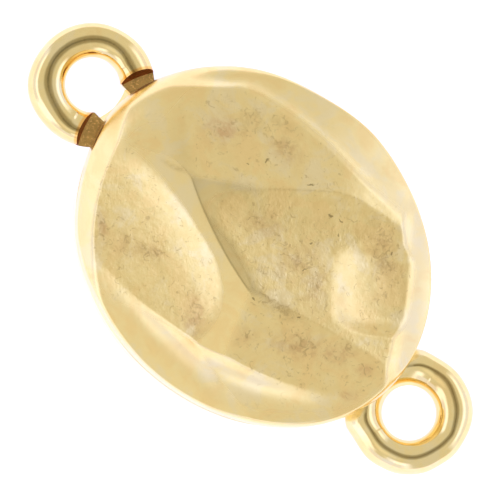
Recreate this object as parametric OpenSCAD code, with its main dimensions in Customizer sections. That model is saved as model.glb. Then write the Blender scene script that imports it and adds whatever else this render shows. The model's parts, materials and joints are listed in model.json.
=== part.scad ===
// Magnetic clasp for a necklace or bracelet: a nugget shaped body cast in two halves that
// meet face to face, a closed loop at each end, and a round magnet glued into each half.
// Millimetres. X runs from the lower half's loop to the upper half's loop and Z is up.
// The origin is the middle of the flat foot on the back of the lower half.

/* [Body] */
// Length of the body along the line of the loops
body_l = 15.5; // [12:0.1:18]
// Width of the body across that line
body_w = 13.05; // [11:0.05:16]
// Height of the upper half above its face, before its relief is cut
upper_h = 3.75; // [3.2:0.05:5]
// Height of the lower half from its foot to its face
lower_h = 2.9; // [2.4:0.05:4.5]
// Straight wall of the upper half next to the seam
upper_wall = 0.8; // [0.5:0.05:1.2]
// Rounding between the relief and the round of the dome
rim_soft = 0.4; // [0.1:0.05:0.6]
// Straight wall of the lower half next to the seam
lower_wall = 1.2; // [0.6:0.05:1.5]
// Depth that the flat foot takes off the round of the back
foot_cut = 0.15; // [0.05:0.01:0.4]
// Gap between the faces of the closed halves
seam_gap = 0.06; // [0.03:0.01:0.2]
// Bevel along the edges of both faces
seam_bevel = 0.08; // [0.03:0.01:0.15]

/* [Loops] */
// Distance between the centres of the two loop holes
loop_pitch = 18.25; // [17.6:0.05:20]
// Diameter of each loop hole
hole_d = 2.2; // [1.6:0.1:2.6]
// Width of the metal round each hole
loop_w = 1.4; // [1.2:0.05:1.7]
// Thickness of each loop
loop_t = 1.6; // [1.2:0.05:1.8]
// Distance from the hole's centre to the foot of the step cut in the ring
step_at = 0.75; // [0.7:0.05:1.0]
// Radius of that step, which runs round the end of the other half
step_r = 4.1; // [3.6:0.1:6]
// Lean of the step's riser over its height
step_lean = 0.2; // [0:0.05:0.3]

/* [Magnets] */
// Diameter of both magnets
magnet_d = 6; // [4:0.1:7]
// Thickness of the magnet in the upper half
upper_magnet_t = 1.3; // [0.8:0.1:1.5]
// Thickness of the magnet in the lower half
lower_magnet_t = 2.0; // [1:0.1:2.2]
// Height that the lower magnet stands proud of its face
magnet_proud = 0.4; // [0.2:0.05:0.6]
// Glue line round and behind each magnet
glue_gap = 0.03; // [0.02:0.01:0.08]
// Radial clearance round the proud magnet in the upper half
magnet_clear = 0.1; // [0.05:0.01:0.2]
// Gap between the poles of the two magnets when the clasp is closed
pole_gap = 0.05; // [0.03:0.01:0.15]

/* [Hidden] */

half_l = body_l / 2;
half_w = body_w / 2;
face_z = lower_h;
upper_z = lower_h + seam_gap;
loop_x = loop_pitch / 2;
loop_z = lower_h + seam_gap / 2;
wire_r = loop_t / 2;
ring_r = hole_d / 2 + loop_w - wire_r;
pocket_z = face_z + magnet_proud - lower_magnet_t;
recess_z = face_z + magnet_proud + pole_gap;
cut = 1;
around_n = 96;
fine = 96;

// Plan of the body, every 22.5 degrees from the upper half's loop. reach and back are the
// radii of the upper and lower halves as shares of an oval of body_l by body_w, and full
// says how square the shoulder is: 2 is round, 3 and more stands up and turns over late.
rim = [
//   bearing  reach  back  full
    [  0,     1.005, 0.99, 2.6],
    [ 22.5,   1.00,  0.99, 2.6],
    [ 45,     1.00,  1.00, 2.8],
    [ 67.5,   1.00,  1.00, 3.1],
    [ 90,     1.015, 1.01, 3.1],
    [112.5,   1.00,  1.00, 2.9],
    [135,     1.01,  1.00, 2.6],
    [157.5,   1.01,  1.00, 2.8],
    [180,     1.015, 0.99, 3.0],
    [202.5,   0.985, 0.985, 3.2],
    [225,     0.995, 0.985, 3.4],
    [247.5,   0.985, 0.985, 2.9],
    [270,     0.985, 0.985, 2.5],
    [292.5,   0.985, 0.985, 2.5],
    [315,     0.99,  0.99, 2.5],
    [337.5,   1.005, 0.99, 2.5]
];
rim_step = rim[1][0] - rim[0][0];
reaches = [for (row = rim) row[1]];
backs = [for (row = rim) row[2]];
fulls = [for (row = rim) row[3]];

// Relief of the upper half. Each row is a face that cuts the metal under the dome. x and y
// are shares of the half length and half width, z a share of upper_h. A face falls toward
// fall (degrees from X) by slope, in shares of upper_h over one half width. Next to its upper
// edge it is steeper by lip, which fades out over fade, and bow bends its edge. Past long
// along its axis turn, and past wide across it, it curves up again, by rise of upper_h at
// twice that far. fade, long and wide are shares of the half width. soft rounds the edge
// that it cuts.
relief = [
//    x      y       z      fall slope  lip   fade   bow   long   wide  turn  rise  soft
    [-0.36,   0.10, 0.872, 101,  0.39,    0,     1,    0,    1,    1,   0,    0, 0.008], // plate
    [-0.64,   0.05, 0.872, 196,  0.49,    0,     1,    0,    1,    1,   0,    0, 0.060], // plate left
    [ 0.09,   0.68, 0.699,  61,  0.56,    0,     1,    0,    1,    1,   0,    0, 0.040], // plate end
    [-0.22,  -0.16, 0.912,  72,  0.21,    0,     1,    0,    1,    1,   0,    0, 0.005], // crest
    [-0.22,  -0.16, 0.912, 252,  0.49,    0,     1, 0.29,    1,    1,   0,    0, 0.005], // ridge
    [ 0.27,  -0.20, 0.853, 326,  0.54,    0,     1,    0,    1,    1,   0,    0, 0.011], // lower plate
    [-0.56,  -0.17, 0.827, 255,  0.52, 0.73,  0.14,    0, 0.46,    1, 165, 0.11, 0.028], // left scoop
    [ 0.17, -0.145, 0.863,  68,  0.42,    0,     1, 0.26,    9, 0.23,  31, 0.04, 0.009], // middle hollow
    [ 0.42,   0.17, 0.693,  48,  0.21, 0.87,  0.20,    0, 0.15,    9, 131, 0.12, 0.030], // terrace
    [-0.77,   0.43, 0.720, 130,  0.61, 1.91,  0.08,    0,    1,    1,   0,    0, 0.035], // top side
    [-0.10,   0.73, 0.672,  94,  0.75, 1.17,  0.09, 0.20,    1,    1,   0,    0, 0.040], // upper right side
    [ 0.67,   0.52, 0.480,  41,  0.78, 0.87,  0.08, 0.20,    1,    1,   0,    0, 0.040], // right side
    [-0.69,  -0.64, 0.416, 228,  1.74, 0.52,  0.08, 0.36,    1,    1,   0,    0, 0.027], // left side
    [-0.06,  -0.74, 0.545, 270,  0.42, 1.91, 0.055, 0.10,    1,    1,   0,    0, 0.032], // lower left side
    [ 0.49,  -0.54, 0.629, 300,  0.44, 1.91, 0.055, 0.29,    1,    1,   0,    0, 0.030]  // bottom side
];

// Value of one column of the rim table at an angle, on a smooth closed curve through it
function rim_value(angle, values) =
    let (
        place = angle / rim_step,
        i = floor(place),
        f = place - i,
        n = len(values),
        a = values[(i + n - 1) % n],
        b = values[i % n],
        c = values[(i + 1) % n],
        d = values[(i + 2) % n]
    )
    b + f / 2 * (c - a + f * (2 * a - 5 * b + 4 * c - d + f * (3 * (b - c) + d - a)));

// Radius of the oval at an angle
function oval(angle) =
    half_l * half_w / sqrt(pow(half_l * sin(angle), 2) + pow(half_w * cos(angle), 2));

// Smaller of two heights, with the edge between them rounded
function soft_min(a, b, soft) =
    let (h = max(0, min(1, 0.5 + (b - a) / soft / 2)))
    b * (1 - h) + a * h - soft * h * (1 - h);

// Height of one relief face over a point of the plan
function face_height(row, x, y) =
    let (
        dx = x - row[0] * half_l,
        dy = y - row[1] * half_w,
        z = row[2],
        fall = row[3],
        slope = row[4],
        lip = row[5],
        fade = row[6],
        bow = row[7],
        long = row[8],
        wide = row[9],
        turn = row[10],
        rise = row[11],
        edge = (dy * cos(fall) - dx * sin(fall)) / half_w,
        down = (dx * cos(fall) + dy * sin(fall)) / half_w + bow * edge * edge,
        sink = lip * fade * (1 - exp(-max(down / fade, -2))),
        along = (dx * cos(turn) + dy * sin(turn)) / half_w / long,
        across = (dy * cos(turn) - dx * sin(turn)) / half_w / wide,
        lift = rise * (pow(max(abs(along) - 1, 0), 2) + pow(max(abs(across) - 1, 0), 2))
    )
    upper_h * (z - slope * down - sink + lift);

// Rounding of the edge that a relief face cuts
function face_soft(row) = row[12] * upper_h;

// Height over a point of the plan where the first count faces meet
function relief_height(x, y, count) =
    count == 1 ? face_height(relief[0], x, y) :
    soft_min(relief_height(x, y, count - 1),
             face_height(relief[count - 1], x, y),
             face_soft(relief[count - 1]));

// Height of the upper half over a point of the plan, where the dome is that high
function carved(x, y, dome) =
    max(upper_wall, soft_min(max(upper_wall, relief_height(x, y, len(relief))), dome, rim_soft));

// Rings of the mesh over each half. ring_crowd above 1 draws them toward the middle, and
// the rounds say how square the dome and the back are seen from the side.
upper_rings = 40;
lower_rings = 14;
ring_crowd = 1.3;
upper_round = 3.0;
lower_round = 2.2;
lower_full = 2.4;

// One ring of the upper half: bevel, top of the wall, then the carved dome
function upper_ring(turn) = [
    for (i = [0 : around_n - 1])
    let (
        angle = 360 * i / around_n,
        reach = oval(angle) * rim_value(angle, reaches),
        r = reach * pow(cos(turn), 2 / rim_value(angle, fulls)),
        x = r * cos(angle),
        y = r * sin(angle),
        z = upper_wall + (upper_h - upper_wall) * pow(sin(turn), 2 / upper_round)
    )
    [x, y, turn == 0 ? upper_wall : carved(x, y, z)]
];

// One ring of the lower half, measured down from its face
function lower_ring(turn) = [
    for (i = [0 : around_n - 1])
    let (
        angle = 360 * i / around_n,
        r = oval(angle) * rim_value(angle, backs) * pow(cos(turn), 2 / lower_full),
        depth = lower_h + foot_cut - lower_wall
    )
    [r * cos(angle), r * sin(angle), -lower_wall - depth * pow(sin(turn), 2 / lower_round)]
];

// The edge of a face, set in by the bevel, and the wall just past the bevel
function edge_ring(shares, inset, z) = [
    for (i = [0 : around_n - 1])
    let (angle = 360 * i / around_n, r = oval(angle) * rim_value(angle, shares) - inset)
    [r * cos(angle), r * sin(angle), z]
];

// Closed skin over rings that run from a flat face to a single tip
module skin(rings, tip, flip) {
    points = concat([for (ring = rings) each ring], [tip]);
    last = len(rings) - 1;
    n = around_n;
    face = [for (i = [0 : n - 1]) i];
    sides = [
        for (k = [0 : last - 1], i = [0 : n - 1])
        let (a = k * n + i, b = k * n + (i + 1) % n)
        each [[a, a + n, b], [b, a + n, b + n]]
    ];
    fan = [for (i = [0 : n - 1]) [last * n + i, len(points) - 1, last * n + (i + 1) % n]];
    faces = concat([face], sides, fan);
    polyhedron(points, flip ? [for (f = faces) [for (i = [len(f) - 1 : -1 : 0]) f[i]]] : faces);
}

// Nugget shaped casting of the upper half, without its loop
module upper_body() {
    turns = [for (k = [0 : upper_rings - 1]) 90 * (1 - pow(1 - k / upper_rings, ring_crowd))];
    rings = concat(
        [edge_ring(reaches, seam_bevel, 0), edge_ring(reaches, 0, seam_bevel)],
        [for (turn = turns) upper_ring(turn)]
    );
    translate([0, 0, upper_z]) skin(rings, [0, 0, carved(0, 0, upper_h)], false);
}

// Plain casting of the lower half, with its flat foot
module lower_body() {
    turns = [for (k = [0 : lower_rings - 1]) 90 * k / lower_rings];
    rings = concat(
        [edge_ring(backs, seam_bevel, 0), edge_ring(backs, 0, -seam_bevel)],
        [for (turn = turns) lower_ring(turn)]
    );
    difference() {
        translate([0, 0, face_z]) skin(rings, [0, 0, -lower_h - foot_cut], true);
        translate([-body_l, -body_w, -foot_cut - cut]) cube([2 * body_l, 2 * body_w, foot_cut + cut]);
    }
}

// Ring round the hole, sunk in the end of the body, toward +X
module loop_metal() {
    translate([loop_x, 0, loop_z])
        rotate_extrude($fn = fine) translate([ring_r, 0]) circle(wire_r, $fn = fine);
}

module loop_hole() {
    translate([loop_x, 0, loop_z - loop_t]) cylinder(h = 2 * loop_t, d = hole_d, $fn = fine);
}

// Space taken from a loop below the seam, where the other half lies
module step_below() {
    deep = wire_r + cut;
    translate([loop_x - step_at - step_r, 0, upper_z - deep])
        cylinder(h = deep, r1 = step_r + step_lean * deep / wire_r, r2 = step_r, $fn = 2 * fine);
}

module upper_half() color([0.87, 0.74, 0.45]) {
    difference() {
        union() {
            upper_body();
            difference() {
                loop_metal();
                step_below();
            }
        }
        loop_hole();
        translate([0, 0, face_z - cut])
            cylinder(h = recess_z + upper_magnet_t + glue_gap - face_z + cut,
                     d = magnet_d + 2 * magnet_clear, $fn = fine);
    }
}

module lower_half() color([0.82, 0.68, 0.38]) {
    difference() {
        union() {
            lower_body();
            // the same loop turned over, so that its step is above the seam
            translate([0, 0, 2 * loop_z]) rotate([0, 180, 0]) difference() {
                loop_metal();
                step_below();
            }
        }
        rotate([0, 0, 180]) loop_hole();
        translate([0, 0, pocket_z - glue_gap])
            cylinder(h = face_z + cut, d = magnet_d + 2 * glue_gap, $fn = fine);
    }
}

module upper_magnet() color([0.75, 0.75, 0.77])
    translate([0, 0, recess_z]) cylinder(h = upper_magnet_t, d = magnet_d, $fn = fine);

module lower_magnet() color([0.68, 0.69, 0.72])
    translate([0, 0, pocket_z]) cylinder(h = lower_magnet_t, d = magnet_d, $fn = fine);

upper_half();
lower_half();
upper_magnet();
lower_magnet();
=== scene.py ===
"""Magnetic clasp: two gold plated castings that meet at a seam, with a magnet in each."""

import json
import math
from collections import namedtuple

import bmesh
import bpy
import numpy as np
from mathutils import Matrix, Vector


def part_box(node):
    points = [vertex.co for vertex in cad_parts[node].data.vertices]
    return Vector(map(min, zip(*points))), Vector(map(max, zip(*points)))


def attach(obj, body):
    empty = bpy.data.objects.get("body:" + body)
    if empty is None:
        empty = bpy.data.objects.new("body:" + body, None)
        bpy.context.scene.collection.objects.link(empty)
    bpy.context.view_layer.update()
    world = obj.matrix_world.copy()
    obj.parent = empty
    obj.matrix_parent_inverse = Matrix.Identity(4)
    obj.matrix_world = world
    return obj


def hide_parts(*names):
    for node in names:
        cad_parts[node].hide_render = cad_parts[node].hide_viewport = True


bl_info = {
    "name": "Magnetic nugget clasp",
    "version": (1, 0, 0),
    "blender": (4, 5, 0),
    "location": "3D View > Sidebar > Clasp",
    "description": "Dresses the clasp's fixed solids in hammered gold plate on a pale table",
    "category": "Add Mesh",
}

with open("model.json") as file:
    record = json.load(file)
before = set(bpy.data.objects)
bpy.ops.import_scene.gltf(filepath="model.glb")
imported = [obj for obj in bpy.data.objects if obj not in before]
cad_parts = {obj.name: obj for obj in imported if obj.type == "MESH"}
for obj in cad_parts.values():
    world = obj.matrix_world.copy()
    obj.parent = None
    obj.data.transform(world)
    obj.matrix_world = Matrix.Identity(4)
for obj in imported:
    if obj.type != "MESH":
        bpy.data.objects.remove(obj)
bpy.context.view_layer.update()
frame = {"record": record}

# Shapes are worked out in millimetres and put into the scene in metres.
MM = 0.001
MOUNTS = {mount["name"]: mount for mount in frame["record"]["mounts"]}
LOOP_X = MOUNTS["loop_b"]["pos_m"][0] / MM
LOOP_Z = MOUNTS["loop_b"]["pos_m"][2] / MM
HOLE_R = MOUNTS["loop_b"]["dims"]["r_mm"]

# Pockets of the magnets: the play round each magnet, the way from the face that it shows to
# the pocket's end, and how far above the lower half's face that face of the magnet lies.
UPPER_PLAY, UPPER_DEEP, UPPER_HANGS = 0.1, 1.33, 0.45
LOWER_PLAY, LOWER_DEEP, LOWER_STANDS = 0.03, 2.03, 0.4

# How square the dome and the back are seen from the side, and the back's shoulder seen from
# above: 2 is round.
DOME_FULL, BACK_FULL, BACK_PLAN_FULL = 3.0, 2.2, 2.4

# Notch between the hole and the body of the lower half: its outline, out from the body's end
# and up from the face, and its ends on Y.
NOTCH = [(-0.15, 0.2), (-0.05, 0), (0.45, -0.75), (0.75, -0.75), (0.75, 0.2)]
NOTCH_ENDS = (-0.7, 0.86)

# Golds of the castings, in the order of their materials. The landings' gold is unpolished plate
# darkened with painted shade, and the risers' dark red-brown is painted shade.
CROWN, PLAIN, UNPOLISHED, LANDING_SHADE, RISER_SHADE = range(5)

# Plan of the body, as shares of an oval of the body's length and width. reach and back are
# the upper and the lower half, full says how square the shoulder is: 2 is round.
Rim = namedtuple("Rim", "bearing reach back full")
RIM = [
    Rim(0, 1.005, 0.99, 2.6),
    Rim(22.5, 1.00, 0.99, 2.6),
    Rim(45, 1.00, 1.00, 2.8),
    Rim(67.5, 1.00, 1.00, 3.1),
    Rim(90, 1.015, 1.01, 3.1),
    Rim(112.5, 1.00, 1.00, 2.9),
    Rim(135, 1.01, 1.00, 2.6),
    Rim(157.5, 1.01, 1.00, 2.8),
    Rim(180, 1.015, 0.99, 3.0),
    Rim(202.5, 0.985, 0.985, 3.2),
    Rim(225, 0.995, 0.985, 3.4),
    Rim(247.5, 0.985, 0.985, 2.9),
    Rim(270, 0.985, 0.985, 2.5),
    Rim(292.5, 0.985, 0.985, 2.5),
    Rim(315, 0.99, 0.99, 2.5),
    Rim(337.5, 1.005, 0.99, 2.5),
]

# Relief of the upper half: faces that cut the metal under the dome. x and y are shares
# of the half length and half width, z a share of upper_h. A face falls toward fall (degrees
# from X) by slope, in shares of upper_h over one half width. Next to its upper edge it is
# steeper by lip, which fades out over fade, and bow bends its edge. Past long along its axis
# turn, and past wide across it, it curves up again, by rise of upper_h at twice that far.
# fade, long and wide are shares of the half width. soft rounds the edge that the face cuts.
# grain is how much of the cast skin is left on it: 0 is fully polished.
Face = namedtuple("Face", "name x y z fall slope lip fade bow long wide turn rise soft grain")
RELIEF = [
    Face("plate", -0.36, 0.10, 0.872, 101, 0.39, 0, 1, 0, 1, 1, 0, 0, 0.008, 0.35),
    Face("plate left", -0.64, 0.05, 0.872, 196, 0.49, 0, 1, 0, 1, 1, 0, 0, 0.060, 0.25),
    Face("plate end", 0.09, 0.68, 0.699, 61, 0.56, 0, 1, 0, 1, 1, 0, 0, 0.040, 0.35),
    Face("crest", -0.22, -0.16, 0.912, 72, 0.21, 0, 1, 0, 1, 1, 0, 0, 0.005, 0),
    Face("ridge", -0.22, -0.16, 0.912, 252, 0.49, 0, 1, 0.29, 1, 1, 0, 0, 0.002, 0),
    Face("lower plate", 0.27, -0.20, 0.853, 326, 0.54, 0, 1, 0, 1, 1, 0, 0, 0.030, 0.45),
    Face("left scoop", -0.56, -0.17, 0.827, 255, 0.52, 0.73, 0.14, 0, 0.46, 1, 165, 0.11, 0.028, 0.8),
    Face("middle hollow", 0.17, -0.145, 0.863, 68, 0.42, 0, 1, 0.26, 9, 0.23, 31, 0.04, 0.006, 0.8),
    Face("terrace", 0.42, 0.17, 0.693, 48, 0.21, 0.87, 0.20, 0, 0.15, 9, 131, 0.12, 0.030, 0.6),
    Face("top side", -0.77, 0.43, 0.720, 130, 0.61, 1.91, 0.08, 0, 1, 1, 0, 0, 0.035, 0.1),
    Face("upper right side", -0.10, 0.73, 0.672, 94, 0.75, 1.17, 0.09, 0.20, 1, 1, 0, 0, 0.040, 0.1),
    Face("right side", 0.67, 0.52, 0.480, 41, 0.78, 0.87, 0.08, 0.12, 1, 1, 0, 0, 0.040, 0),
    Face("left side", -0.69, -0.64, 0.416, 228, 1.74, 0.52, 0.08, 0.36, 1, 1, 0, 0, 0.027, 0),
    Face("lower left side", -0.06, -0.74, 0.545, 270, 0.42, 1.91, 0.055, 0.10, 1, 1, 0, 0, 0.032, 0.1),
    Face("bottom side", 0.49, -0.54, 0.629, 300, 0.44, 1.91, 0.055, 0.29, 1, 1, 0, 0, 0.030, 0.2),
]

# Pits left by the casting, in millimetres from the origin: place, length, width and turn.
Pit = namedtuple("Pit", "x y length width turn")
PITS = [
    Pit(-2.21, 2.54, 0.30, 0.08, 106),
    Pit(-0.32, 3.10, 0.32, 0.07, 41),
    Pit(1.14, 2.89, 0.20, 0.11, 1),
    Pit(1.57, 3.05, 0.20, 0.08, 1),
    Pit(1.94, 2.58, 0.16, 0.09, 131),
    Pit(1.95, 0.61, 0.34, 0.06, 76),
    Pit(1.38, 1.53, 0.14, 0.08, 46),
    Pit(3.11, -0.90, 0.18, 0.09, 66),
    Pit(1.33, -1.73, 0.18, 0.08, 16),
    Pit(-2.63, 1.86, 0.12, 0.08, 46),
    Pit(3.97, 3.67, 0.14, 0.07, 106),
]

# Stains on the relief, in millimetres from the origin: place, half length, half width and
# turn, then how dark the stain is and how ruddy.
Stain = namedtuple("Stain", "x y long wide turn dark ruddy")
STAINS = [
    Stain(2.4, -1.2, 1.04, 0.28, 18, 0.55, 0.0),
    Stain(4.0, -1.6, 1.04, 0.48, 36, 0.35, 0.6),
    Stain(5.2, -0.8, 0.72, 0.40, 46, 0.25, 0.6),
    Stain(1.6, 0.7, 0.80, 0.64, 66, 0.30, 0.3),
    Stain(2.7, 0.5, 0.88, 0.40, 126, 0.35, 0.3),
    Stain(-0.5, 0.6, 0.72, 0.48, 46, 0.20, 0.3),
    Stain(3.8, 3.4, 1.04, 0.52, 146, 0.45, 0.3),
    Stain(5.0, 2.0, 0.72, 0.40, 126, 0.15, 0.0),
    Stain(-3.7, 3.2, 0.64, 0.44, 106, 0.35, 0.0),
    Stain(-2.0, 3.4, 0.64, 0.40, 6, 0.30, 0.5),
    Stain(-2.8, 4.0, 0.64, 0.24, 16, 0.25, 0.0),
    Stain(-2.8, -3.3, 0.56, 0.32, 26, 0.50, 0.2),
    Stain(-4.8, -3.9, 0.56, 0.20, 146, 0.35, 0.6),
    Stain(-3.7, -3.8, 1.04, 0.56, 26, 0.22, 0.2),
    Stain(0.2, -3.8, 0.88, 0.40, 126, 0.30, 0.6),
    Stain(2.2, -3.0, 0.48, 0.32, 46, 0.18, 0.4),
    Stain(-4.5, -0.3, 0.52, 0.10, 18, 0.55, 0.0),
    Stain(-4.3, 2.1, 0.64, 0.48, 46, 0.20, 0.8),
    Stain(6.5, -0.4, 0.28, 0.20, 46, 0.25, 0.8),
    Stain(6.8, -1.5, 0.32, 0.20, 46, 0.25, 0.8),
]


class ClaspSizes(bpy.types.PropertyGroup):
    """Sizes of the clasp."""

    body_l: bpy.props.FloatProperty(
        name="Body length", description="Length of the body along the line of the loops",
        default=15.5 * MM, min=0.012, max=0.018, unit="LENGTH")
    body_w: bpy.props.FloatProperty(
        name="Body width", description="Width of the body across the line of the loops",
        default=13.05 * MM, min=0.011, max=0.016, unit="LENGTH")
    upper_h: bpy.props.FloatProperty(
        name="Upper height", description="Height of the upper half before its relief is cut",
        default=3.75 * MM, min=0.0032, max=0.005, unit="LENGTH")
    upper_wall: bpy.props.FloatProperty(
        name="Upper wall", description="Straight wall of the upper half above the seam",
        default=0.8 * MM, min=0.0005, max=0.0012, unit="LENGTH")
    rim_soft: bpy.props.FloatProperty(
        name="Rim softness", description="Rounding between the relief and the round of the dome",
        default=0.4 * MM, min=0.0001, max=0.0006, unit="LENGTH")
    lower_h: bpy.props.FloatProperty(
        name="Lower height", description="Height of the lower half from its foot to its face",
        default=2.9 * MM, min=0.0024, max=0.0045, unit="LENGTH")
    lower_wall: bpy.props.FloatProperty(
        name="Lower wall", description="Straight wall of the lower half below the seam",
        default=1.2 * MM, min=0.0006, max=0.0015, unit="LENGTH")
    foot_cut: bpy.props.FloatProperty(
        name="Foot cut", description="Depth that the flat foot takes off the round of the back",
        default=0.15 * MM, min=0.00005, max=0.0004, unit="LENGTH")
    seam_gap: bpy.props.FloatProperty(
        name="Seam gap", description="Gap between the faces of the closed halves",
        default=0.06 * MM, min=0.00003, max=0.0002, unit="LENGTH")
    seam_bevel: bpy.props.FloatProperty(
        name="Seam bevel", description="Bevel along the edges of both faces",
        default=0.08 * MM, min=0.00003, max=0.00015, unit="LENGTH")
    loop_w: bpy.props.FloatProperty(
        name="Loop width", description="Width of the metal round each loop hole",
        default=1.4 * MM, min=0.0012, max=0.0017, unit="LENGTH")
    loop_t: bpy.props.FloatProperty(
        name="Loop thickness", description="Thickness of each loop",
        default=1.6 * MM, min=0.0012, max=0.0018, unit="LENGTH")
    step_at: bpy.props.FloatProperty(
        name="Step distance", description="From the hole's centre to the foot of the step",
        default=0.75 * MM, min=0.0007, max=0.001, unit="LENGTH")
    step_r: bpy.props.FloatProperty(
        name="Step radius", description="Radius of the step round the end of the other half",
        default=4.1 * MM, min=0.0036, max=0.006, unit="LENGTH")
    step_lean: bpy.props.FloatProperty(
        name="Step lean", description="Lean of the step's riser over its height",
        default=0.2 * MM, min=0, max=0.0003, unit="LENGTH")
    magnet_d: bpy.props.FloatProperty(
        name="Magnet diameter", description="Diameter of both magnets",
        default=6.0 * MM, min=0.004, max=0.007, unit="LENGTH")


class ClaspFinish(bpy.types.PropertyGroup):
    """Colours and polish of the clasp."""

    gold: bpy.props.FloatVectorProperty(
        name="Gold", description="Colour of the polished plate",
        default=(1.0, 0.77, 0.34), size=3, min=0, max=1, subtype="COLOR")
    cast_gold: bpy.props.FloatVectorProperty(
        name="Cast gold", description="Colour of the plate over the cast skin",
        default=(0.93, 0.70, 0.28), size=3, min=0, max=1, subtype="COLOR")
    warm: bpy.props.FloatVectorProperty(
        name="Warm gold", description="Colour of the plate where it has worn thin",
        default=(0.98, 0.68, 0.27), size=3, min=0, max=1, subtype="COLOR")
    cool: bpy.props.FloatVectorProperty(
        name="Cool gold", description="Colour of the plate where it is clouded",
        default=(0.95, 0.77, 0.42), size=3, min=0, max=1, subtype="COLOR")
    mottle: bpy.props.FloatVectorProperty(
        name="Mottle", description="Colour of the mottling over the cast skin",
        default=(0.74, 0.50, 0.15), size=3, min=0, max=1, subtype="COLOR")
    stain: bpy.props.FloatVectorProperty(
        name="Stain", description="Colour of the brown stains",
        default=(0.50, 0.34, 0.13), size=3, min=0, max=1, subtype="COLOR")
    rust: bpy.props.FloatVectorProperty(
        name="Rust", description="Colour of the ruddy stains",
        default=(0.80, 0.46, 0.20), size=3, min=0, max=1, subtype="COLOR")
    soot: bpy.props.FloatVectorProperty(
        name="Pit brown", description="Colour of the dirt in the pits",
        default=(0.20, 0.13, 0.04), size=3, min=0, max=1, subtype="COLOR")
    # The landings' colour is unpolished plate, darkened further with painted shade beside the step.
    landing_shade: bpy.props.FloatVectorProperty(
        name="Landing", description="Colour of the unpolished landings in the loops",
        default=(0.72, 0.45, 0.145), size=3, min=0, max=1, subtype="COLOR")
    # The risers' dark red-brown is painted shade in the step beside the other half.
    riser_shade: bpy.props.FloatVectorProperty(
        name="Riser", description="Colour of the risers of the steps",
        default=(0.37, 0.085, 0.006), size=3, min=0, max=1, subtype="COLOR")
    # This colour is a painted orange reflection of light bounced between gold faces, along the upper
    # edge of the risers.
    riser_edge_reflection: bpy.props.FloatVectorProperty(
        name="Fringe", description="Colour of the thick plate along the edge of a riser",
        default=(1.0, 0.52, 0.12), size=3, min=0, max=1, subtype="COLOR")
    nickel: bpy.props.FloatVectorProperty(
        name="Nickel", description="Colour of the magnets",
        default=(0.60, 0.55, 0.42), size=3, min=0, max=1, subtype="COLOR")
    polish: bpy.props.FloatProperty(
        name="Polish", description="Roughness of the polished faces",
        default=0.25, min=0, max=1, subtype="FACTOR")
    cast: bpy.props.FloatProperty(
        name="Cast skin", description="Roughness where the cast skin is left",
        default=0.38, min=0, max=1, subtype="FACTOR")


class Shape:
    """The sizes in millimetres, with what follows from them."""

    def __init__(self, sizes):
        for name in sizes.__annotations__:
            setattr(self, name, getattr(sizes, name) / MM)
        self.half_l = self.body_l / 2
        self.half_w = self.body_w / 2
        self.face_z = self.lower_h
        self.upper_z = self.lower_h + self.seam_gap
        self.step_x = LOOP_X - self.step_at - self.step_r
        self.step_slope = self.step_lean / (self.loop_t / 2)


def rim_value(angle, column):
    """One column of the rim table at angles in degrees, on a smooth closed curve."""
    values = np.array([getattr(row, column) for row in RIM])
    count = len(RIM)
    place = np.asarray(angle) % 360 / (360 / count)
    i = np.floor(place).astype(int)
    f = place - i
    a, b, c, d = (values[(i + k) % count] for k in (-1, 0, 1, 2))
    return b + f / 2 * (c - a + f * (2 * a - 5 * b + 4 * c - d + f * (3 * (b - c) + d - a)))


def oval(shape, angle):
    """Radius of the oval at an angle."""
    t, length, width = np.radians(angle), shape.half_l, shape.half_w
    return length * width / np.hypot(length * np.sin(t), width * np.cos(t))


def soft_min(a, b, soft):
    """Smaller of two heights with the edge between them rounded, and the share of the first."""
    share = np.clip(0.5 + (b - a) / soft / 2, 0, 1)
    return b * (1 - share) + a * share - soft * share * (1 - share), share


def carve(shape, x, y, uncut):
    """Height and grain of the upper half over points of the plan where the dome is uncut high."""
    z, grain = None, None
    for face in RELIEF:
        dx = x - face.x * shape.half_l
        dy = y - face.y * shape.half_w
        fall, turn = math.radians(face.fall), math.radians(face.turn)
        edge = (dy * math.cos(fall) - dx * math.sin(fall)) / shape.half_w
        down = (dx * math.cos(fall) + dy * math.sin(fall)) / shape.half_w + face.bow * edge ** 2
        along = (dx * math.cos(turn) + dy * math.sin(turn)) / shape.half_w / face.long
        across = (dy * math.cos(turn) - dx * math.sin(turn)) / shape.half_w / face.wide
        past = np.maximum(np.abs([along, across]) - 1, 0)
        lift = face.rise * (past ** 2).sum(axis=0)
        sink = face.lip * face.fade * (1 - np.exp(-np.maximum(down / face.fade, -2)))
        cut = shape.upper_h * (face.z - face.slope * down - sink + lift)
        if z is None:
            z, grain = cut, np.full_like(x, face.grain)
        else:
            z, share = soft_min(z, cut, face.soft * shape.upper_h)
            grain = grain * share + face.grain * (1 - share)
    z, share = soft_min(np.maximum(shape.upper_wall, z), uncut, shape.rim_soft)
    return np.maximum(shape.upper_wall, z), grain * share


def mesh_from(name, points, faces):
    """A mesh in millimetres from points and faces."""
    mesh = bpy.data.meshes.new(name)
    mesh.from_pydata([tuple(p) for p in points], [], faces)
    mesh.update()
    return mesh


def level(radius, t, z):
    """A ring of points at radii round the origin and angles t, on one height."""
    return np.stack([radius * np.cos(t), radius * np.sin(t), np.full(len(t), z)], axis=1)


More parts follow.
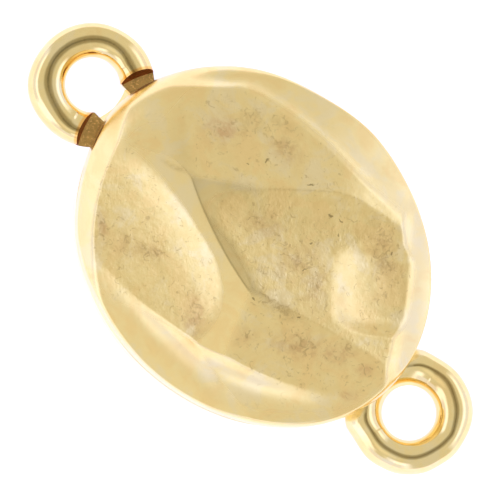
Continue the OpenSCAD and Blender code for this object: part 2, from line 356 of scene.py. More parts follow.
def skin(name, rings, tip=None):
    """A closed mesh over rings of points, flat at its first ring and flat or tipped at its last."""
    n = len(rings[0])
    points = np.concatenate(rings if tip is None else [*rings, [tip]])
    i = np.arange(n)
    j = (i + 1) % n
    faces = [tuple(i)]
    for k in range(len(rings) - 1):
        a = k * n
        faces += list(zip(a + j, a + i, a + n + i, a + n + j))
    last = (len(rings) - 1) * n
    if tip is None:
        faces.append(tuple(last + i[::-1]))
    else:
        faces += [(last + p, len(points) - 1, last + q) for p, q in zip(i, j)]
    return mesh_from(name, points, [tuple(int(v) for v in face) for face in faces])


def dome(shape, turn):
    """Height of the upper half before its relief is cut, at a turn over the shoulder."""
    return shape.upper_wall + (shape.upper_h - shape.upper_wall) * np.sin(turn) ** (2 / DOME_FULL)


def upper_body(shape):
    """Nugget shaped casting of the upper half, without its loop. crowd draws its rings inward."""
    around, rings_n, crowd = 480, 168, 1.3
    angle = np.arange(around) * 360 / around
    t = np.radians(angle)
    reach = oval(shape, angle) * rim_value(angle, "reach")
    full = rim_value(angle, "full")
    rings = [level(reach - shape.seam_bevel, t, 0), level(reach, t, shape.seam_bevel)]
    for k in range(rings_n):
        turn = math.pi / 2 * (1 - (1 - k / rings_n) ** crowd)
        points = level(reach * math.cos(turn) ** (2 / full), t, dome(shape, turn))
        if k:
            points[:, 2], _ = carve(shape, *points.T)
        rings.append(points)
    top, _ = carve(shape, *np.array([[0], [0], [shape.upper_h]]))
    for points in rings:
        points[:, 2] += shape.upper_z
    return skin("upper_body", rings, tip=[0, 0, top[0] + shape.upper_z])


def lower_body(shape):
    """Plain casting of the lower half, with its flat foot."""
    around, rings_n = 288, 40
    angle = np.arange(around) * 360 / around
    t = np.radians(angle)
    reach = oval(shape, angle) * rim_value(angle, "back")
    depth = shape.lower_h + shape.foot_cut - shape.lower_wall
    wall_z = shape.face_z - shape.lower_wall
    rings = [level(reach - shape.seam_bevel, t, shape.face_z),
             level(reach, t, shape.face_z - shape.seam_bevel)]
    for k in range(rings_n):
        turn = math.pi / 2 * k / rings_n
        z = max(wall_z - depth * math.sin(turn) ** (2 / BACK_FULL), 0)
        rings.append(level(reach * math.cos(turn) ** (2 / BACK_PLAN_FULL), t, z))
        if z == 0:
            break
    return skin("lower_body", rings)


# Knocks in the outside of each ring while its loop lies toward +X: bearing from the hole's
# centre, depth, breadth, and how far the crest leans out there. A depth below 0 is a bulge.
Knock = namedtuple("Knock", "bearing deep broad lean")
KNOCKS = {
    "loop_a": [
        Knock(75, 0.03, 20, 0), Knock(-48, -0.12, 25, 0), Knock(-20, 0, 30, 0.08),
        Knock(108, 0, 24, -0.22), Knock(-111, 0, 24, 0.2)],
    "loop_b": [
        Knock(-104, 0.05, 14, 0), Knock(-72, 0.03, 12, 0), Knock(-45, 0.01, 14, 0.05),
        Knock(-14, 0.05, 12, 0), Knock(18, 0.02, 10, 0.06), Knock(52, -0.10, 26, 0),
        Knock(85, -0.03, 14, 0.05), Knock(105, 0, 25, 0.12), Knock(125, -0.09, 11, 0),
        Knock(-125, -0.12, 11, 0)],
}
# How square each ring's section is: 2 is round. The inner side is flatter near the body,
# down to INNER_FULL, within BLEND degrees of it. The top lies at CREST of the way across it.
CREST_FULL = {"loop_a": 2.45, "loop_b": 2.1}
INNER_FULL, BLEND, CREST = 1.3, 75, 0.49


def ring(shape, name):
    """The ring round a loop's hole, toward +X. Its hole is a little tight, to be cut out later."""
    section_n, around, tight = 64, 240, 0.01
    inner, outer = HOLE_R - tight, HOLE_R + shape.loop_w
    full_out = CREST_FULL[name]
    u = np.linspace(0, 2 * math.pi, section_n, endpoint=False)
    rings = []
    for bearing in np.arange(around) * 360 / around:
        t = math.radians(bearing)
        from_body = abs(bearing - 180)
        near = max(0.0, 1 - from_body / BLEND)
        full_in = full_out - (full_out - INNER_FULL) * near ** 0.5
        full = np.where(np.cos(u) < 0, full_in, full_out)
        across = np.sign(np.cos(u)) * np.abs(np.cos(u)) ** (2 / full)
        upright = np.sign(np.sin(u)) * np.abs(np.sin(u)) ** (2 / full)
        off, crest = 0.0, HOLE_R + CREST * shape.loop_w
        for knock in KNOCKS[name]:
            away = (bearing - knock.bearing + 180) % 360 - 180
            share = math.exp(-(away / knock.broad) ** 2)
            off += knock.deep * share
            crest += knock.lean * share
        side = crest + np.where(across < 0, crest - inner, outer - crest) * across
        side -= off * (1 + across) / 2
        rings.append(np.stack([LOOP_X + side * math.cos(t), side * math.sin(t),
                               LOOP_Z + shape.loop_t / 2 * upright], axis=1))
    i, j = np.meshgrid(np.arange(section_n), np.arange(around))
    this, after = j * section_n, (j + 1) % around * section_n
    i_next = (i + 1) % section_n
    faces = np.stack([this + i, this + i_next, after + i_next, after + i], axis=-1)
    return mesh_from(name + "_ring", np.concatenate(rings), faces.reshape(-1, 4).tolist())


def prism(name, outline, y0, y1):
    """A solid whose outline lies in the plane of X and Z, between two places on Y."""
    n = len(outline)
    points = [(x, y, z) for y in (y0, y1) for x, z in outline]
    faces = [tuple(range(n))[::-1], tuple(range(n, 2 * n))]
    faces += [(i, (i + 1) % n, n + (i + 1) % n, n + i) for i in range(n)]
    return mesh_from(name, points, faces)


def drum(name, x, rows, count=160):
    """An upright round solid round a place on X, through rows of height and radius."""
    t = np.arange(count) * 2 * math.pi / count
    return skin(name, [level(radius, t, z) + (x, 0, 0) for z, radius in rows])


def outward(mesh):
    """Turns a closed mesh's faces outward."""
    work = bmesh.new()
    work.from_mesh(mesh)
    bmesh.ops.recalc_face_normals(work, faces=work.faces)
    work.to_mesh(mesh)
    work.free()
    return mesh


def combine(name, base, steps):
    """The mesh base after joining or cutting other meshes, one after the other."""
    scene = bpy.context.scene
    made = bpy.data.objects.new(name, outward(base))
    scene.collection.objects.link(made)
    helpers = []
    for index, (operation, mesh) in enumerate(steps):
        helper = bpy.data.objects.new(f"{name}_step_{index}", outward(mesh))
        scene.collection.objects.link(helper)
        helpers.append(helper)
        modifier = made.modifiers.new(f"step_{index}", "BOOLEAN")
        modifier.operation = operation
        modifier.object = helper
        modifier.solver = "MANIFOLD"
    bpy.context.view_layer.update()
    graph = bpy.context.evaluated_depsgraph_get()
    result = bpy.data.meshes.new_from_object(made.evaluated_get(graph))
    made.modifiers.clear()
    made.data = result
    result.name = name
    for helper in helpers:
        data = helper.data
        bpy.data.objects.remove(helper)
        bpy.data.meshes.remove(data)
    return made


def turned_over(mesh):
    """The mesh of a loop turned half round, so that its step is above the seam."""
    mesh.transform(Matrix(((-1, 0, 0, 0), (0, 1, 0, 0), (0, 0, -1, 2 * LOOP_Z), (0, 0, 0, 1))))
    return mesh


def loop_steps(shape, name):
    """What is cut from a ring toward +X with its step below the seam, one after the other."""
    far, step_n, hole_n = 2.0, 512, 192
    seam = shape.upper_z if name == "loop_b" else 2 * LOOP_Z - shape.face_z
    rows = [(seam - far, shape.step_r + shape.step_slope * far), (seam, shape.step_r)]
    step = drum(name + "_step", shape.step_x, rows, step_n)
    hole = drum(name + "_hole", LOOP_X, [(LOOP_Z - far, HOLE_R), (LOOP_Z + far, HOLE_R)], hole_n)
    return [("DIFFERENCE", step), ("DIFFERENCE", hole)]


def finish_mesh(obj, materials, choose, masks=None, sharp=35):
    """Gives a piece its materials face by face, its masks, its shading and its scale."""
    mesh = obj.data
    mesh.materials.clear()
    for material in materials:
        mesh.materials.append(material)
    centre = np.zeros(len(mesh.polygons) * 3, np.float32)
    normal = np.zeros(len(mesh.polygons) * 3, np.float32)
    mesh.polygons.foreach_get("center", centre)
    mesh.polygons.foreach_get("normal", normal)
    which = choose(centre.reshape(-1, 3), normal.reshape(-1, 3)).astype(np.int32)
    mesh.polygons.foreach_set("material_index", which)
    if masks:
        co = np.zeros(len(mesh.vertices) * 3, np.float32)
        mesh.vertices.foreach_get("co", co)
        for name, values in masks(co.reshape(-1, 3)).items():
            layer = mesh.attributes.new(name, "FLOAT", "POINT")
            layer.data.foreach_set("value", values.astype(np.float32))
    mesh.shade_smooth()
    mesh.set_sharp_from_angle(angle=math.radians(sharp))
    mesh.transform(Matrix.Scale(MM, 4))
    mesh.update()
    return obj


class Graph:
    """Short hand for a node tree: makes nodes, sets their plain values and joins sockets."""

    def __init__(self, tree):
        self.tree = tree

    def give(self, socket, value):
        if isinstance(value, bpy.types.NodeSocket):
            self.tree.links.new(value, socket)
        else:
            socket.default_value = value

    def add(self, kind, inputs=None, **settings):
        node = self.tree.nodes.new(kind)
        for name, value in settings.items():
            setattr(node, name, value)
        for name, value in (inputs or {}).items():
            self.give(node.inputs[name], value)
        return node

    def maths(self, operation, a, b=0.0):
        return self.add("ShaderNodeMath", {0: a, 1: b}, operation=operation).outputs[0]

    def vector(self, operation, a, b=None, scale=None):
        inputs = {0: a}
        if b is not None:
            inputs[1] = b
        if scale is not None:
            inputs["Scale"] = scale
        return self.add("ShaderNodeVectorMath", inputs, operation=operation).outputs

    def turned(self, vector, angle):
        inputs = {"Vector": vector, "Angle": angle}
        return self.add("ShaderNodeVectorRotate", inputs, rotation_type="Z_AXIS").outputs[0]

    def blend(self, share, a, b):
        return self.add("ShaderNodeMix", {0: share, 6: a, 7: b}, data_type="RGBA").outputs[2]

    def spread(self, value, low, high, to_low=0.0, to_high=1.0, smooth=True):
        inputs = {"Value": value, "From Min": low, "From Max": high,
                  "To Min": to_low, "To Max": to_high}
        kind = "SMOOTHSTEP" if smooth else "LINEAR"
        return self.add("ShaderNodeMapRange", inputs, interpolation_type=kind).outputs[0]

    def noise(self, where, scale, detail=2.0, rough=0.5, warp=0.0, output="Fac"):
        inputs = {"Vector": where, "Scale": scale, "Detail": detail, "Roughness": rough,
                  "Distortion": warp}
        return self.add("ShaderNodeTexNoise", inputs).outputs[output]

    def metal(self, colour, rough, height):
        bump = self.add("ShaderNodeBump", {"Strength": 1.0, "Distance": MM, "Height": height})
        shader = self.add("ShaderNodeBsdfPrincipled", {
            "Base Color": colour, "Roughness": rough, "Metallic": 1.0, "Normal": bump.outputs[0]})
        self.add("ShaderNodeOutputMaterial", {"Surface": shader.outputs[0]})


def opaque(colour):
    """A colour with an alpha of 1."""
    return (*colour, 1)


def group_tree(name, inputs, outputs):
    """An empty shader node group with named sockets, each (name, type, default)."""
    tree = bpy.data.node_groups.new(name, "ShaderNodeTree")
    for socket_name, kind, default in inputs:
        socket = tree.interface.new_socket(socket_name, in_out="INPUT", socket_type=kind)
        if default is not None:
            socket.default_value = default
    for socket_name, kind in outputs:
        tree.interface.new_socket(socket_name, in_out="OUTPUT", socket_type=kind)
    graph = Graph(tree)
    return graph, graph.add("NodeGroupInput").outputs, graph.add("NodeGroupOutput").inputs


def cast_skin_group():
    """Node group of the cast skin: its height, clouds of colour, mottling and brown flecks."""
    name = "cast_skin"
    if name in bpy.data.node_groups:
        return bpy.data.node_groups[name]
    g, given, out = group_tree(
        name,
        [("Place", "NodeSocketVector", None), ("Grain", "NodeSocketFloat", 0.5),
         ("Stain", "NodeSocketFloat", 0.0)],
        [("Height", "NodeSocketFloat"), ("Cloud", "NodeSocketFloat"),
         ("Mottle", "NodeSocketFloat"), ("Fleck", "NodeSocketFloat")])
    place, grain = given["Place"], given["Grain"]
    brush_turn, drawn_out, fleck_shift = math.radians(-36), (1.0, 0.4, 1.0), (7.0, 3.0, 5.0)
    coarse_deep, swell_deep, stain_adds = 0.026, 0.05, 0.26

    brushed = g.vector("MULTIPLY", g.turned(place, brush_turn), drawn_out)[0]
    streak_deep = g.spread(g.noise(place, 0.9), 0.40, 0.68, 0.002, 0.015)
    fine = g.maths("MULTIPLY", g.noise(brushed, 10.0, 2.0, 0.6), streak_deep)
    coarse = g.maths("MULTIPLY", g.noise(place, 2.6, 3.0, 0.55), coarse_deep)
    swell = g.maths("MULTIPLY", g.noise(place, 0.5, 1.0, 0.4), swell_deep)
    height = g.maths("MULTIPLY", g.maths("ADD", fine, coarse), grain)
    g.give(out["Height"], g.maths("ADD", height, swell))
    g.give(out["Cloud"], g.spread(g.noise(place, 0.7, 4.0, 0.6, 0.5), 0.32, 0.68))
    g.give(out["Mottle"], g.spread(g.noise(place, 2.6, 4.0, 0.65, 0.4), 0.35, 0.68))
    speck = g.noise(g.vector("ADD", place, fleck_shift)[0], 3.6, 4.0, 0.62, 1.2)
    speck = g.maths("ADD", speck, g.maths("MULTIPLY", given["Stain"], stain_adds))
    fleck = g.maths("MULTIPLY", g.spread(speck, 0.57, 0.72), g.spread(grain, 0.0, 0.5))
    g.give(out["Fleck"], fleck)
    return g.tree


def pit_group():
    """Node group of one long pit: a ragged mask round a centre."""
    name = "long_pit"
    if name in bpy.data.node_groups:
        return bpy.data.node_groups[name]
    g, given, out = group_tree(
        name,
        [("Place", "NodeSocketVector", None), ("Centre", "NodeSocketVector", None),
         ("Turn", "NodeSocketFloat", 0.0), ("Length", "NodeSocketFloat", 0.2),
         ("Width", "NodeSocketFloat", 0.1)],
        [("Mask", "NodeSocketFloat")])
    ragged_by = 0.22
    ragged = g.noise(given["Place"], 7.0, output="Color")
    ragged = g.vector("SCALE", ragged, scale=ragged_by)[0]
    ragged = g.vector("SUBTRACT", ragged, (ragged_by / 2,) * 3)[0]
    away = g.vector("SUBTRACT", given["Place"], given["Centre"])[0]
    away = g.turned(g.vector("ADD", away, ragged)[0], g.maths("MULTIPLY", given["Turn"], -1.0))
    parts = g.add("ShaderNodeSeparateXYZ", {0: away}).outputs
    along = g.maths("DIVIDE", parts[0], given["Length"])
    across = g.maths("DIVIDE", parts[1], given["Width"])
    along, across = (g.maths("MULTIPLY", share, share) for share in (along, across))
    gap = g.maths("SQRT", g.maths("ADD", along, across))
    g.give(out["Mask"], g.spread(gap, 0.3, 0.6, 1.0, 0.0))
    return g.tree


def new_material(name):
    """An empty material with nodes, its graph and the place in millimetres."""
    material = bpy.data.materials.new(name)
    material.use_nodes = True
    material.node_tree.nodes.clear()
    g = Graph(material.node_tree)
    where = g.add("ShaderNodeTexCoord").outputs["Object"]
    return material, g, g.vector("SCALE", where, scale=1 / MM)[0]


def cast_skin(g, place, **given):
    """A node of the cast skin's group in a graph, at a place."""
    node = g.add("ShaderNodeGroup", {}, node_tree=cast_skin_group())
    for name, value in dict(given, Place=place).items():
        g.give(node.inputs[name], value)
    return node.outputs


def riser_edge_reflection_mask(g, place, shape):
    """1 on the strip of the lower half's ring next to the upper edge of its risers, where an orange
    reflection is painted.
    """
    parts = g.add("ShaderNodeSeparateXYZ", {0: place}).outputs
    beyond = g.maths("MULTIPLY", parts[0], -1.0)
    from_round = g.maths("SUBTRACT", beyond, shape.step_x)
    away = g.add("ShaderNodeCombineXYZ", {0: from_round, 1: parts[1]}).outputs[0]
    radius = g.vector("LENGTH", away)["Value"]
    rise = g.maths("ABSOLUTE", g.maths("SUBTRACT", parts[2], LOOP_Z))
    edge = g.maths("ADD", g.maths("MULTIPLY", rise, shape.step_slope), shape.step_r)
    gap = g.maths("SUBTRACT", radius, edge)
    band = g.maths("MULTIPLY", g.spread(gap, 0.08, 0.16, 1.0, 0.0), g.spread(gap, -0.02, 0.0))
    return g.maths("MULTIPLY", band, g.spread(beyond, shape.half_l, shape.half_l + 0.05))


def pits_mask(g, place):
    """1 in the casting's pits."""
    mask = None
    for pit in PITS:
        one = g.add("ShaderNodeGroup", {}, node_tree=pit_group())
        given = {"Place": place, "Centre": (pit.x, pit.y, 0), "Turn": math.radians(pit.turn),
                 "Length": pit.length, "Width": pit.width}
        for name, value in given.items():
            g.give(one.inputs[name], value)
        one = one.outputs["Mask"]
        mask = one if mask is None else g.maths("MAXIMUM", mask, one)
    return mask


def gold_material(name, finish, shape, grain=None, rough=None, edges=False):
    """Gold plate. grain is a fixed share of cast skin, or None to read the crown's own masks.
    rough is a fixed roughness, or None to follow grain. edges adds a painted orange reflection of
    bounced light along the upper edge of the risers."""
    warm_share, cool_share, mottle_share = 0.55, 0.65, 0.30
    fleck_share, pit_share, reflection_share = 0.55, 0.65, 0.85
    material, g, place = new_material(name)
    crown = grain is None
    if crown:
        grain, stain, ruddy = (
            g.add("ShaderNodeAttribute", attribute_name=mask).outputs["Fac"]
            for mask in ("grain", "stain", "ruddy"))
        skin_out = cast_skin(g, place, Grain=grain, Stain=stain)
    else:
        skin_out = cast_skin(g, place, Grain=grain)
    cloud, mottle = skin_out["Cloud"], skin_out["Mottle"]
    colour = g.blend(grain, opaque(finish.gold), opaque(finish.cast_gold))
    warm = g.maths("MULTIPLY", g.spread(cloud, 0.5, 1.0), warm_share)
    colour = g.blend(warm, colour, opaque(finish.warm))
    cool = g.maths("MULTIPLY", g.spread(cloud, 0.5, 0.0), cool_share)
    colour = g.blend(cool, colour, opaque(finish.cool))
    shade = g.maths("MULTIPLY", g.maths("MULTIPLY", mottle, grain), mottle_share)
    colour = g.blend(shade, colour, opaque(finish.mottle))
    if crown:
        ruddy = g.maths("MULTIPLY", ruddy, g.spread(mottle, 0.0, 1.0, 0.3, 0.9))
        colour = g.blend(ruddy, colour, opaque(finish.rust))
        patch = g.maths("MULTIPLY", stain, g.spread(mottle, 0.0, 1.0, 0.35, 1.0))
        colour = g.blend(patch, colour, opaque(finish.stain))
    fleck = g.maths("MULTIPLY", skin_out["Fleck"], fleck_share)
    colour = g.blend(fleck, colour, opaque(finish.stain))
    if crown:
        pits = g.maths("MULTIPLY", pits_mask(g, place), pit_share)
        colour = g.blend(pits, colour, opaque(finish.soot))
    if edges:
        # Painted orange reflection along the upper edge of the risers.
        strip = g.maths("MULTIPLY", riser_edge_reflection_mask(g, place, shape), reflection_share)
        colour = g.blend(strip, colour, opaque(finish.riser_edge_reflection))
    if rough is None:
        rough = g.spread(grain, 0.0, 1.0, finish.polish, finish.cast, smooth=False)
    g.metal(colour, rough, skin_out["Height"])
    return material


def rough_material(name, colour, rough, inland=None, bare=None):
    """Unpolished plate with pale specks painted as glints. Nearer the middle than inland, it has the
    colour bare.
    """
    material, g, place = new_material(name)
    skin_out = cast_skin(g, place, Grain=1.0)
    pale = tuple(min(1.0, 1.3 * c + 0.05) for c in colour)
    deep = tuple(0.7 * c for c in colour)
    tone = g.blend(skin_out["Mottle"], opaque(colour), opaque(deep))
    # Pale specks are painted glints.
    tone = g.blend(g.spread(g.noise(place, 11.0, 3.0), 0.52, 0.70), tone, opaque(pale))
    if inland is not None:
        from_middle = g.maths("ABSOLUTE", g.add("ShaderNodeSeparateXYZ", {0: place}).outputs[0])
        tone = g.blend(g.spread(from_middle, inland - 0.2, inland), opaque(bare), tone)
    g.metal(tone, rough, skin_out["Height"])
    return material


def nickel_material(finish):
    """Nickel plate of the magnets, lightly ground."""
    material, g, place = new_material("nickel_plate")
    skin_out = cast_skin(g, place, Grain=0.4)
    cloud = skin_out["Cloud"]
    grey = tuple(0.8 * c for c in finish.nickel)
    colour = g.blend(cloud, opaque(finish.nickel), opaque(grey))
    g.metal(colour, g.spread(cloud, 0.0, 1.0, 0.22, 0.34), skin_out["Height"])
    return material


def shared_gold(scene):
    """The gold finishes: carved crown, plain plate with a painted orange reflection along the risers'
    upper edges, unpolished faces, landings of unpolished plate darkened with painted shade, and risers
    darkened with painted shade.
    """
    names = ["gold_crown", "gold_plain", "gold_unpolished", "gold_landing", "gold_riser"]
    made = bpy.data.materials
    if names[0] not in made:
        finish, shape = scene.clasp_finish, Shape(scene.clasp_sizes)
        gold_material(names[CROWN], finish, shape)
        gold_material(names[PLAIN], finish, shape, grain=0.1, rough=0.11, edges=True)
        gold_material(names[UNPOLISHED], finish, shape, grain=1.0)
        inland = shape.half_l - 0.25
        # The landings get unpolished plate darkened with painted shade, and plain cast gold nearer the
        # middle.
        rough_material(names[LANDING_SHADE], finish.landing_shade, 0.45, inland, finish.cast_gold)
        # The risers get a dark red-brown that is painted shade.
        rough_material(names[RISER_SHADE], finish.riser_shade, 0.4)
    return [made[name] for name in names]


def casting_gold(shape, side, outside):
    """Chooser of a casting's gold face by face. side is 1 for the upper half and -1 for the
    lower, and outside is the gold of its body. It measures out to the loop and in from the face."""
    face_z = shape.upper_z if side > 0 else shape.face_z
    at_face, pocket_deep = 0.02, 1.9
    pocket_r, hole_r = shape.magnet_d / 2 + 0.12, HOLE_R + 0.03
    plain_from = shape.half_l + 0.08
    landing_from = plain_from if side > 0 else shape.half_l - 0.5
    riser_from, riser_to = shape.half_l + side * 0.08, LOOP_X - 0.5

    def choose(centre, normal):
        out, inward = side * centre[:, 0], side * (centre[:, 2] - face_z)
        toward_body, toward_face = side * normal[:, 0] < -0.5, side * normal[:, 2] < -0.7
        seam = (np.abs(inward) < at_face) & toward_face
        pocket = (np.hypot(centre[:, 0], centre[:, 1]) < pocket_r) & (inward < pocket_deep)
        # Faces of the risers, which take the gold darkened with painted shade.
        riser_shade = (inward < -at_face) & toward_body & (out > riser_from) & (out < riser_to)
        riser_shade &= np.hypot(out - LOOP_X, centre[:, 1]) > hole_r
        which = np.where(out > plain_from, PLAIN, outside)
        which = np.where(seam | pocket, UNPOLISHED, which)
        which = np.where(riser_shade, RISER_SHADE, which)
        # Faces of the landings take unpolished plate darkened with painted shade.
        return np.where(seam & (out > landing_from), LANDING_SHADE, which)

    return choose


def stain_masks(x, y):
    """How dark and how ruddy the stains are over points of the plan."""
    dark, ruddy = np.zeros_like(x), np.zeros_like(x)
    for stain in STAINS:
        turn = math.radians(stain.turn)
        dx, dy = x - stain.x, y - stain.y
        along = (dx * math.cos(turn) + dy * math.sin(turn)) / stain.long
        across = (dy * math.cos(turn) - dx * math.sin(turn)) / stain.wide
        share = np.exp(-along ** 2 - across ** 2)
        dark = np.maximum(dark, stain.dark * share)
        ruddy = np.maximum(ruddy, stain.ruddy * share)
    return dark, ruddy


def crown_masks(shape, co):
    """Cast skin, dark stains and ruddy stains at the points of the upper casting."""
    x, y = co[:, 0].astype(float), co[:, 1].astype(float)
    angle = np.degrees(np.arctan2(y, x))
    reach = oval(shape, angle) * rim_value(angle, "reach")
    share = np.clip(np.hypot(x, y) / reach, 0, 1)
    turn = np.arccos(share ** (rim_value(angle, "full") / 2))
    _, grain = carve(shape, x, y, dome(shape, turn))
    polished_band = 1 / 12
    near_rim = np.clip((1 - share) / polished_band, 0, 1)
    dark, ruddy = stain_masks(x, y)
    high = co[:, 2] > shape.upper_z + shape.upper_wall
    return {"grain": grain * near_rim, "stain": dark * high, "ruddy": ruddy * high}


class CLASP_OT_upper_half(bpy.types.Operator):
    """Make the hammered upper half with its loop"""

    bl_idname = "clasp.upper_half"
    bl_label = "Upper half"

    def execute(self, context):
        scene = context.scene
        shape = Shape(scene.clasp_sizes)
        bore = shape.magnet_d / 2 + UPPER_PLAY
        pocket = drum("upper_pocket", 0, [
            (shape.face_z - 1, bore), (shape.face_z + UPPER_HANGS + UPPER_DEEP, bore)])
        loop = combine("loop_b_part", ring(shape, "loop_b"), loop_steps(shape, "loop_b"))
        piece = combine("upper_casting", upper_body(shape), [
            ("UNION", loop.data.copy()), ("DIFFERENCE", pocket)])
        bpy.data.objects.remove(loop)
        finish_mesh(piece, shared_gold(scene), casting_gold(shape, 1, CROWN),
                    lambda co: crown_masks(shape, co))
        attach(piece, "upper")
        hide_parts("upper_half")
        return {"FINISHED"}


class CLASP_OT_lower_half(bpy.types.Operator):
    """Make the plain lower half with its loop and steps"""

    bl_idname = "clasp.lower_half"
    bl_label = "Lower half"

    def execute(self, context):
        scene = context.scene
        shape = Shape(scene.clasp_sizes)
        bore = shape.magnet_d / 2 + LOWER_PLAY
        pocket = drum("lower_pocket", 0, [
            (shape.face_z + LOWER_STANDS - LOWER_DEEP, bore), (shape.face_z + 1, bore)])
        steps = [(how, turned_over(mesh)) for how, mesh in loop_steps(shape, "loop_a")]
        loop = combine("loop_a_part", turned_over(ring(shape, "loop_a")), steps)
        outline = [(-shape.half_l - out, shape.face_z + up) for out, up in NOTCH]
        notch = prism("loop_notch", outline, *NOTCH_ENDS)
        piece = combine("lower_casting", lower_body(shape), [
            ("UNION", loop.data.copy()), ("DIFFERENCE", pocket), ("DIFFERENCE", notch)])
        bpy.data.objects.remove(loop)
        finish_mesh(piece, shared_gold(scene), casting_gold(shape, -1, PLAIN))
        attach(piece, "lower")
        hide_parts("lower_half")
        return {"FINISHED"}


class CLASP_OT_magnets(bpy.types.Operator):
    """Make the round magnets with their rounded edges"""

    bl_idname = "clasp.magnets"
    bl_label = "Magnets"

    def execute(self, context):
        nickel = nickel_material(context.scene.clasp_finish)
        edge, edge_rows, count = 0.12, 7, 128
        bend = [(edge * (1 - math.sin(a)), edge * (1 - math.cos(a)))
                for a in np.linspace(0, math.pi / 2, edge_rows)]
        for node, body in (("upper_magnet", "upper"), ("lower_magnet", "lower")):
            low, high = (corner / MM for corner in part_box(node))
            radius = (high.x - low.x) / 2
            rows = [(low.z + lift, radius - inset) for inset, lift in bend]
            rows += [(high.z - lift, radius - inset) for inset, lift in reversed(bend)]
            disc = outward(drum(node + "_disc", 0, rows, count))
            piece = bpy.data.objects.new(node + "_disc", disc)
            context.scene.collection.objects.link(piece)
            finish_mesh(piece, [nickel], lambda centre, normal: np.zeros(len(centre)), sharp=50)
            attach(piece, body)
            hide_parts(node)
        return {"FINISHED"}


# The photograph's view, in degrees and millimetres. Bearings lie in the object's plan, from X.
VIEW_BEARING = 250.64
VIEW_TILT = 8.0
UP_BEARING = 135.64
VIEW_FAR = 300.0
VIEW_WIDTH = 20.0
VIEW_AIM = (0.0, -0.05, 2.93)

# The surroundings that the gold mirrors. OVERHEAD is the dim patch and WINDOW a faint brighter
# one: bearing, and degrees from straight up. TENT_DIM and TENT are the tints of the tent's dim
# and bright parts, HORIZON is the colour at the level of the table and below.
OVERHEAD = (70.64, 8.0)
WINDOW = (290.0, 24.0)
TENT_DIM, TENT = (1.0, 0.93, 0.72), (1.0, 1.0, 1.0)
HORIZON = (0.90, 0.96, 1.28)

# Bright sides of the tent: bearing, half width and soft edge round the horizon, then the
# degrees from straight up over which the side comes in, and its colour.
NEAR, FAR = (1.29, 1.43, 2.02), (0.90, 0.97, 1.42)
Side = namedtuple("Side", "bearing half edge low high colour")
SIDES = [
    Side(48.0, 28.0, 16.0, 37.0, 52.0, NEAR),
    Side(228.0, 38.0, 16.0, 40.0, 53.0, NEAR),
    Side(310.0, 5.0, 14.0, 37.0, 52.0, NEAR),
    Side(48.0, 28.0, 16.0, 58.0, 68.0, FAR),
    Side(248.0, 60.0, 16.0, 58.0, 68.0, FAR),
    Side(256.0, 5.0, 9.0, 35.0, 44.0, NEAR),
]


def studio_world(scene):
    """Plain soft studio light: a pale tent with a dim patch overhead and brighter sides."""
    world = bpy.data.worlds.new("studio")
    scene.world = world
    world.use_nodes = True
    world.node_tree.nodes.clear()
    g = Graph(world.node_tree)
    way = g.add("ShaderNodeTexCoord").outputs["Generated"]
    parts = g.add("ShaderNodeSeparateXYZ", {0: way}).outputs
    flat = g.add("ShaderNodeCombineXYZ", {0: parts[0], 1: parts[1]}).outputs[0]
    flat = g.vector("NORMALIZE", flat)[0]

    def away_from(direction, aim):
        """Degrees between a direction and an aim."""
        dot = g.vector("DOT_PRODUCT", direction, aim)["Value"]
        return g.maths("MULTIPLY", g.maths("ARCCOSINE", dot), 180 / math.pi)

    def from_spot(bearing, tilt):
        """Degrees between each direction and a spot."""
        b, t = math.radians(bearing), math.radians(tilt)
        return away_from(way, (math.sin(t) * math.cos(b), math.sin(t) * math.sin(b), math.cos(t)))

    def beside(side):
        """1 within a side's half width, falling to 0 over its edge."""
        b = math.radians(side.bearing)
        away = away_from(flat, (math.cos(b), math.sin(b), 0))
        return g.spread(away, side.half, side.half + side.edge, 1.0, 0.0)

    overhead, window, from_top = from_spot(*OVERHEAD), from_spot(*WINDOW), from_spot(0.0, 0.0)
    light = g.spread(overhead, 7.0, 20.0, 0.34, 0.72)
    light = g.maths("MULTIPLY", light, g.spread(overhead, 1.0, 4.5, 0.45, 1.0))
    light = g.maths("ADD", light, g.spread(window, 5.0, 15.0, 0.15, 0.0))
    tint = g.blend(g.spread(light, 0.2, 0.65), opaque(TENT_DIM), opaque(TENT))
    light = g.vector("SCALE", tint, scale=light)[0]
    light = g.blend(g.spread(from_top, 78.0, 96.0), light, opaque(HORIZON))
    for side in SIDES:
        share = g.maths("MULTIPLY", beside(side), g.spread(from_top, side.low, side.high))
        light = g.blend(share, light, opaque(side.colour))
    seen = g.add("ShaderNodeLightPath").outputs["Is Camera Ray"]
    colour = g.blend(seen, light, (1, 1, 1, 1))
    back = g.add("ShaderNodeBackground", {"Color": colour, "Strength": 1.0})
    g.add("ShaderNodeOutputWorld", {"Surface": back.outputs[0]})


def table_material():
    """Matt white with a soft blue glow, clear when looked at from below."""
    material, g, place = new_material("table_white")
    shade = g.spread(g.noise(place, 0.02, 2.0), 0.3, 0.7, 0.86, 0.88)
    paper = g.add("ShaderNodeCombineColor", {0: shade, 1: shade, 2: shade}).outputs[0]
    shader = g.add("ShaderNodeBsdfPrincipled", {
        "Base Color": paper, "Roughness": 0.9,
        "Emission Color": (0.6, 0.68, 1, 1), "Emission Strength": 0.7})
    from_below = g.add("ShaderNodeNewGeometry").outputs["Backfacing"]
    clear = g.add("ShaderNodeBsdfTransparent")
    one_sided = g.add("ShaderNodeMixShader", {
        0: from_below, 1: shader.outputs[0], 2: clear.outputs[0]})
    g.add("ShaderNodeOutputMaterial", {"Surface": one_sided.outputs[0]})
    return material


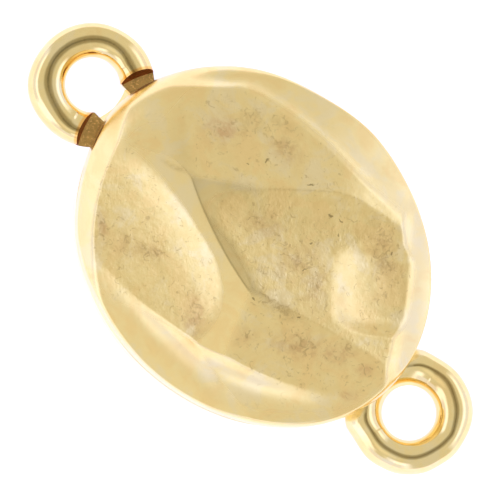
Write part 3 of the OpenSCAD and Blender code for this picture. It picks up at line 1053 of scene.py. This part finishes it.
class CLASP_OT_stage(bpy.types.Operator):
    """Set the pale table, the soft light and the camera"""

    bl_idname = "clasp.stage"
    bl_label = "Table, light and camera"

    def execute(self, context):
        scene = context.scene
        half, low = 600.0, -0.01
        corners = [(-half, -half), (half, -half), (half, half), (-half, half)]
        mesh = mesh_from("table", [(x, y, low) for x, y in corners], [(0, 1, 2, 3)])
        mesh.transform(Matrix.Scale(MM, 4))
        mesh.materials.append(table_material())
        table = bpy.data.objects.new("table", mesh)
        scene.collection.objects.link(table)
        studio_world(scene)
        scene.view_settings.view_transform = "Standard"

        b, t, u = (math.radians(v) for v in (VIEW_BEARING, VIEW_TILT, UP_BEARING))
        back = Vector((math.sin(t) * math.cos(b), math.sin(t) * math.sin(b), math.cos(t)))
        up = Vector((math.cos(u), math.sin(u), 0))
        up = (up - back * up.dot(back)).normalized()
        right = up.cross(back)
        data = bpy.data.cameras.new("camera")
        data.sensor_width = 36
        data.lens = data.sensor_width * VIEW_FAR / VIEW_WIDTH
        data.clip_start, data.clip_end = 0.01, 10
        camera = bpy.data.objects.new("camera", data)
        turn = Matrix((right, up, back)).transposed().to_4x4()
        camera.matrix_world = Matrix.Translation((Vector(VIEW_AIM) + back * VIEW_FAR) * MM) @ turn
        scene.collection.objects.link(camera)
        scene.camera = camera
        return {"FINISHED"}


class CLASP_PT_panel(bpy.types.Panel):
    """The clasp's sizes, finish and makers"""

    bl_idname = "CLASP_PT_panel"
    bl_label = "Magnetic clasp"
    bl_space_type = "VIEW_3D"
    bl_region_type = "UI"
    bl_category = "Clasp"

    def draw(self, context):
        layout = self.layout
        for group in (context.scene.clasp_sizes, context.scene.clasp_finish):
            for name in group.__annotations__:
                layout.prop(group, name)
        for operator in OPERATORS:
            layout.operator(operator.bl_idname)


OPERATORS = (CLASP_OT_upper_half, CLASP_OT_lower_half, CLASP_OT_magnets, CLASP_OT_stage)
CLASSES = (ClaspSizes, ClaspFinish, *OPERATORS, CLASP_PT_panel)


def register():
    for cls in CLASSES:
        bpy.utils.register_class(cls)
    bpy.types.Scene.clasp_sizes = bpy.props.PointerProperty(type=ClaspSizes)
    bpy.types.Scene.clasp_finish = bpy.props.PointerProperty(type=ClaspFinish)


def unregister():
    del bpy.types.Scene.clasp_finish
    del bpy.types.Scene.clasp_sizes
    for cls in reversed(CLASSES):
        bpy.utils.unregister_class(cls)


def main():
    """Builds the clasp and its stage."""
    register()
    bpy.ops.clasp.stage()
    bpy.ops.clasp.lower_half()
    bpy.ops.clasp.upper_half()
    bpy.ops.clasp.magnets()


if __name__ == "__main__":
    main()
